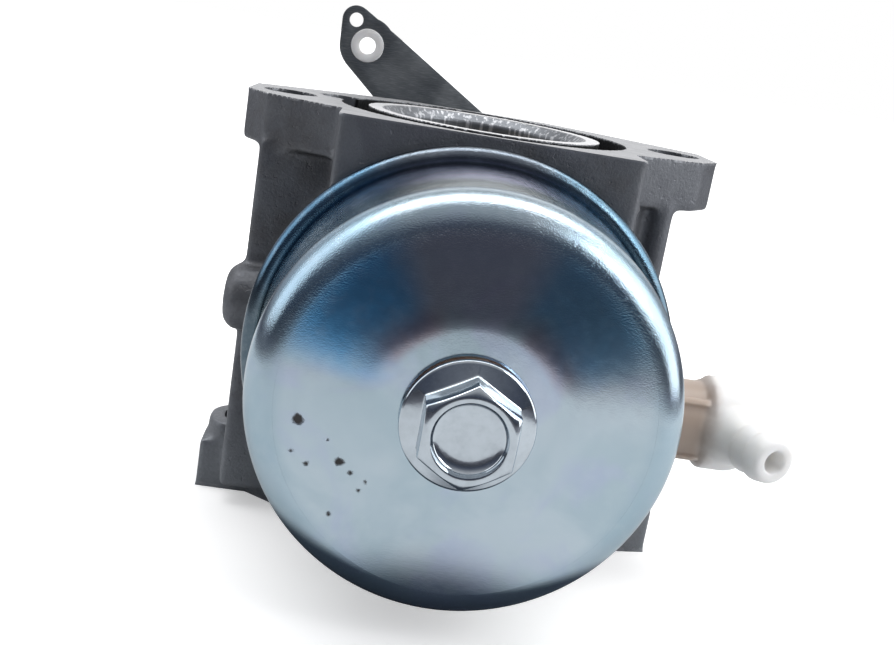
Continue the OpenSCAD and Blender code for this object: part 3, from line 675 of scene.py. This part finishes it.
def make_elbow(material):
    """The moulded fuel elbow: ribbed root, chamfered collar, turned spout and two hose barbs."""
    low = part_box("fuel_inlet_elbow")[0]
    ring_low, ring_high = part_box("fuel_inlet_o_ring")
    inlet = (ring_low + ring_high) / 2
    groove = (ring_low.x - low.x) / MM - 0.15
    mount = record_mount("fuel_hose_barb")
    tip, aim = Vector(mount["pos_m"]), Vector(mount["axis"])
    reach = 22.4
    root = axis_frame(Vector((low.x, inlet.y, inlet.z)), RIGHT, UP)
    spout = axis_frame(tip - aim * reach * MM, aim, UP)

    plug, stem, collar = 6.85, 6.9, 8.2
    outline = [(0, 0), (plug, 0), (plug, groove), (5.4, groove), (5.4, groove + 2), (plug, groove + 2)]
    outline += [(plug, 8.65), (stem, 8.75), (stem, 18.8), (collar, 20.1), (collar, 24.4)]
    outline += arc(collar - 4.4, 24.4, 4.4, 0, 75, 6) + [(0, 28.8)]
    hose = [(0, 0), (6.9, 0), (6.9, 5.5), (6.2, 8.5), (5.2, 11.3), (4.4, 13.6), (3.9, 14.6)]
    for barb in (15.6, 19.0):
        hose += [(3.75, barb - 0.3), (4.4, barb), (4.4, barb + 0.5), (3.85, barb + 2.9)]
    hose += [(3.8, reach - 0.5), (3.4, reach), (1.9, reach), (1.9, 8.0), (0, 8.0)]

    def shells(bm):
        capped_lathe(bm, scaled(rounded(outline, 0.3, 2)), root, 96)
        capped_lathe(bm, scaled(rounded(hose, 0.3, 3)), spout, 72)
        for quarter in range(4):
            turn = root @ Matrix.Rotation(math.radians(48 + 90 * quarter), 4, "Z")
            size = Matrix.Diagonal((1.1 * MM, 1.3 * MM, 9 * MM, 1))
            place = turn @ Matrix.Translation(mm(stem + 0.1, 0, 14.4)) @ size
            bmesh.ops.create_cube(bm, size=1, matrix=place)

    mesh = remeshed(mesh_from(shells, "elbow_shells"), (0.22) * MM)
    smooth_loose(mesh, np.zeros(len(mesh.vertices)), 5)
    return add_piece("fuel_elbow", mesh, "root", material, ("fuel_inlet_elbow",), 60)


def make_bolt(material):
    """Bowl bolt: washer-faced flange, chamfered hexagon, and a round dish in its end."""
    low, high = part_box("bowl_bolt")
    seat = -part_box("bowl_bolt_washer")[0].y
    top = (-low.y - seat) / MM
    end = (-high.y - seat) / MM
    axis_z = (low.z + high.z) / 2
    rim = (high.x - low.x) / 2 / MM
    flats, corner, chamfer, dish, shank = 12.7, math.radians(89), 6.05, 5.05, 3.9

    def cone(radius):
        return 1.0 + 0.6 * (rim - 0.4 - radius) / (rim - 0.4 - flats / 2)

    def crown(radius):
        return top - max(radius - chamfer, 0) * math.tan(math.radians(30))

    def outline(angle):
        side = flats / 2 / math.cos((angle - corner) % (math.pi / 3) - math.pi / 6)
        return scaled([
            (0, end), (shank - 0.6, end), (shank, end + 0.7), (shank, 0.03),
            (rim - 0.2, 0.03), (rim, 0.2), (rim, 0.6), (rim - 0.12, 0.85), (rim - 0.4, cone(rim - 0.4)),
            (side + 0.3, cone(side + 0.3)), (side + 0.1, cone(side) + 0.06), (side, cone(side) + 0.3),
            (side, crown(side) - 0.22), (side - 0.05, crown(side) - 0.07), (side - 0.2, crown(side - 0.2)),
            (chamfer, top), (dish + 0.3, top), (dish + 0.12, top - 0.06), (dish, top - 0.3),
            (dish - 0.08, top - 0.7), (dish - 0.4, top - 1.05), (dish - 1.0, top - 1.25),
            (dish - 1.9, top - 1.35), (dish - 3.2, top - 1.4), (0, top - 1.4),
        ])

    place = axis_frame(Vector((0, -seat, axis_z)), FRONT, RIGHT)
    mesh = mesh_from(lambda bm: capped_lathe(bm, outline, place, 192, corner), "bolt")
    return add_piece("bowl_bolt_finished", mesh, "root", material, ("bowl_bolt",), 38)


def sleeve(node, direction):
    """Start point, outer radius and length of the cylinder along direction that fills a node's box."""
    low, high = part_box(node)
    size, direction = high - low, Vector(direction).normalized()
    across = min(range(3), key=lambda k: abs(direction[k]))
    along = max(range(3), key=lambda k: abs(direction[k]))
    radius = size[across] / 2
    slant = math.sqrt(max(1 - direction[along] ** 2, 0))
    length = (size[along] - 2 * radius * slant) / abs(direction[along])
    return (low + high) / 2 - direction * length / 2, radius, length


def make_spring(node, direction, wire, turns, material):
    """A wire coil in the space of a spring's CAD sleeve."""
    start, outer, length = sleeve(node, direction)
    thick = wire * MM / 2
    place = axis_frame(start + Vector(direction).normalized() * thick, direction)
    points = coil_points(place, outer - thick, length - 2 * thick, turns)
    mesh = mesh_from(lambda bm: sweep(bm, points, thick, 10), node + "_coil")
    return add_piece(node + "_coil", mesh, "root", material, (node,), 60)


def make_screw(node, direction, body, shank, pitch, material, threads_from, threads_to):
    """A screw with a softened slotted head and a real thread. The thread runs between two shares of its length."""
    start, _, length = sleeve(node, direction)
    head = softened(node, 0.12 * MM, material)
    axis = Vector(direction).normalized()
    root, crest = (shank - 0.32) * MM, shank * MM
    for vertex in head.data.vertices:
        offset = vertex.co - start
        along = offset.dot(axis)
        out = offset - axis * along
        if threads_from * length < along < threads_to * length and root < out.length < crest * 1.02:
            vertex.co -= out.normalized() * (out.length - root)
    place = axis_frame(start + axis * length * threads_from, direction)
    run = length * (threads_to - threads_from)
    mesh = mesh_from(
        lambda bm: threaded_rod(bm, place, crest, run, pitch * MM, 0.3 * MM), node + "_thread"
    )
    return [head, add_piece(node + "_thread", mesh, body, material, (), 30)]


# ---- building ----

MATERIALS = {
    "cast_aluminium": cast_aluminium(),
    "zinc_bowl": zinc_bowl(),
    "bright_zinc": plated("bright_zinc", (0.60, 0.66, 0.71), 0.08, 0.14, 0.003, 0.5),
    "ground_steel": plated("ground_steel", (0.60, 0.60, 0.61), 0.24, 0.38),
    "lever_steel": lever_steel(),
    "spring_steel": plated("spring_steel", (0.40, 0.40, 0.42), 0.28, 0.42),
    "brass": brass("brass"),
    "white_nylon": nylon("white_nylon", (0.92, 0.91, 0.90), (0.94, 0.92, 0.89), 0.6),
    "rubber": dull("rubber", (0.022, 0.022, 0.023), (0.045, 0.043, 0.041), 0.6),
    "fibre": dull("fibre", (0.30, 0.13, 0.07), (0.42, 0.24, 0.15), 0.7),
    "needle_metal": plated("needle_metal", (0.50, 0.50, 0.52), 0.3, 0.45),
}
SLOT_OF = {part["node"]: part["material_slot"] for part in frame["record"]["subparts"]}
DIAGONAL = Vector(frame["record"]["behaviour"]["joints"][-1]["axis"])


def material_of(node):
    return MATERIALS[SLOT_OF[node]]


def build_pieces():
    """Makes every replacing piece, by the node whose finish it takes."""
    back = -FRONT
    made = {
        "float_bowl": make_bowl(material_of("float_bowl")),
        "carburetor_body": make_body(material_of("carburetor_body")),
        "fuel_inlet_elbow": make_elbow(material_of("fuel_inlet_elbow")),
        "bowl_bolt": make_bolt(material_of("bowl_bolt")),
        "idle_speed_screw": make_screw(
            "idle_speed_screw", UP, "idle_speed_adjuster", 2.0, 0.8, material_of("idle_speed_screw"), 0.06, 0.8
        ),
    }
    springs = {
        "throttle_return_spring": (back, 0.8, 1.4), "choke_return_spring": (back, 0.6, 1.2),
        "idle_speed_spring": (UP, 0.75, 4.5), "idle_mixture_spring": (DIAGONAL, 0.75, 2.6),
    }
    for node, (direction, wire, turns) in springs.items():
        made[node] = make_spring(node, direction, wire, turns, material_of(node))
    widths = {
        "choke_lever": 0.16, "throttle_lever": 0.16, "throttle_lever_nut": 0.25,
        "choke_lever_screw": 0.22, "float": 0.8, "idle_mixture_screw": 0.15, "welch_plug": 0.4,
        "choke_lever_bushing": 0.15, "throttle_plate_screws": 0.1, "choke_plate_screws": 0.1,
    }
    for node, width in widths.items():
        made[node] = softened(node, width * MM, material_of(node))
    for node, item in NODES.items():
        if node not in made:
            item.data.materials.clear()
            item.data.materials.append(material_of(node))


build_pieces()


# ---- camera, floor and light ----

def make_camera():
    """A camera that looks down on the bowl's side, a little from the left, and leans to the left."""
    target, distance = mm(-5.0, -57.4, 50.1), 150.7 * MM
    azimuth, elevation, lean = (math.radians(a) for a in (4.34, 14.01, 9.55))
    back = Vector((
        -math.sin(azimuth) * math.cos(elevation), -math.cos(azimuth) * math.cos(elevation), math.sin(elevation)
    ))
    data = bpy.data.cameras.new("camera")
    data.sensor_width, data.lens = 36, 46.44
    data.clip_start = 0.01
    camera = bpy.data.objects.new("camera", data)
    bpy.context.scene.collection.objects.link(camera)
    right = UP.cross(back).normalized()
    up = back.cross(right)
    turn = Matrix((right, up, back)).transposed().to_4x4()
    camera.matrix_world = Matrix.Translation(target + back * distance) @ turn @ Matrix.Rotation(lean, 4, "Z")
    bpy.context.scene.camera = camera


def make_floor():
    """A pale floor that the engine flange stands on, which fades to plain white away from the object. To
    reflections it is dimmer, with a painted shadow under the bowl.
    """
    bm = bmesh.new()
    bmesh.ops.create_grid(bm, x_segments=8, y_segments=8, size=6)
    mesh = bpy.data.meshes.new("floor")
    bm.to_mesh(mesh)
    bm.free()
    floor = bpy.data.objects.new("floor", mesh)
    bpy.context.scene.collection.objects.link(floor)
    s = Shader("floor_pale", roughness=0.9)
    away = s.vector_length(s.place)
    seen = s.nodes.new("ShaderNodeLightPath").outputs["Is Camera Ray"]
    pale = s.mix(s.noise(0.004), (0.90, 0.90, 0.90), (0.92, 0.92, 0.92))
    # Painted shadow: reflections see the floor near black under the bowl.
    from_bowl = s.vector_length(s.vector("SUBTRACT", s.place, (0, -38, 0)))
    mirrored = s.mix(s.remap(from_bowl, 29, 41), (0.05, 0.06, 0.08), (0.62, 0.63, 0.64))
    pale = s.mix(seen, mirrored, pale)
    s.give("Base Color", s.mix(s.remap(away, 235, 330), pale, (0.10, 0.10, 0.12)))
    s.give("Emission Color", (1, 1, 1, 1))
    s.give("Emission Strength", s.math("MULTIPLY", seen, s.remap(away, 90, 300, 0.4, 1.4)))
    mesh.materials.append(s.material)


def soft_light(name, place, towards, width, height, brightness, color=(1, 1, 1)):
    """A rectangle of even brightness, whatever its size."""
    data = bpy.data.lights.new(name, "AREA")
    data.shape, data.size, data.size_y = "RECTANGLE", width, height
    data.energy, data.color = brightness * math.pi * width * height, color
    light = bpy.data.objects.new(name, data)
    bpy.context.scene.collection.objects.link(light)
    light.location = place
    light.rotation_euler = (Vector(towards) - Vector(place)).to_track_quat("-Z", "Y").to_euler()


def make_surroundings():
    """White to the camera. To the object it is a pale room, dark towards the front horizon."""
    world = bpy.data.worlds.new("room")
    world.use_nodes = True
    bpy.context.scene.world = world
    tree = world.node_tree
    nodes, links = tree.nodes, tree.links
    nodes.clear()
    coords = nodes.new("ShaderNodeTexCoord")
    parts = nodes.new("ShaderNodeSeparateXYZ")
    links.new(coords.outputs["Generated"], parts.inputs[0])

    def ramp(source, stops):
        node = nodes.new("ShaderNodeValToRGB")
        while len(node.color_ramp.elements) < len(stops):
            node.color_ramp.elements.new(0.5)
        for element, (position, color) in zip(node.color_ramp.elements, stops):
            element.position, element.color = position, (*color, 1)
        shift = nodes.new("ShaderNodeMapRange")
        shift.inputs[1].default_value, shift.inputs[2].default_value = -1, 1
        links.new(source, shift.inputs[0])
        links.new(shift.outputs[0], node.inputs[0])
        return node.outputs[0]

    front = ramp(parts.outputs["Z"], [
        (0.48, (0.07, 0.075, 0.09)), (0.60, (0.07, 0.08, 0.11)),
        (0.72, (0.16, 0.17, 0.20)), (0.90, (0.5, 0.5, 0.52)),
    ])
    behind = ramp(parts.outputs["Z"], [
        (0.50, (0.42, 0.42, 0.44)), (0.62, (0.50, 0.50, 0.53)), (0.90, (0.6, 0.6, 0.6)),
    ])
    side = nodes.new("ShaderNodeMapRange")
    side.interpolation_type = "SMOOTHSTEP"
    side.inputs[1].default_value, side.inputs[2].default_value = -0.45, 0.35
    links.new(parts.outputs["Y"], side.inputs[0])
    blend = nodes.new("ShaderNodeMix")
    blend.data_type = "RGBA"
    links.new(side.outputs[0], blend.inputs[0])
    links.new(front, blend.inputs[6])
    links.new(behind, blend.inputs[7])
    room = nodes.new("ShaderNodeBackground")
    links.new(blend.outputs[2], room.inputs["Color"])
    white = nodes.new("ShaderNodeBackground")
    white.inputs["Color"].default_value = (1, 1, 1, 1)
    path = nodes.new("ShaderNodeLightPath")
    pick = nodes.new("ShaderNodeMixShader")
    links.new(path.outputs["Is Camera Ray"], pick.inputs[0])
    links.new(room.outputs[0], pick.inputs[1])
    links.new(white.outputs[0], pick.inputs[2])
    output = nodes.new("ShaderNodeOutputWorld")
    links.new(pick.outputs[0], output.inputs["Surface"])


make_camera()
make_floor()
make_surroundings()
centre = mm(0, -10, 35)
soft_light("overhead", centre + mm(0, 60, 500), centre, 0.9, 0.19, 4.2)
soft_light("left", centre + mm(-520, -20, 260), centre, 0.4, 0.5, 1.1)
soft_light("right", centre + mm(520, -60, 200), centre, 0.4, 0.5, 2.0)
soft_light("front_right", centre + mm(430, -300, 330), centre, 0.16, 0.3, 6)
soft_light("behind", centre + mm(40, 600, 260), centre, 0.9, 0.3, 0.8)
bpy.context.scene.view_settings.view_transform = "Standard"
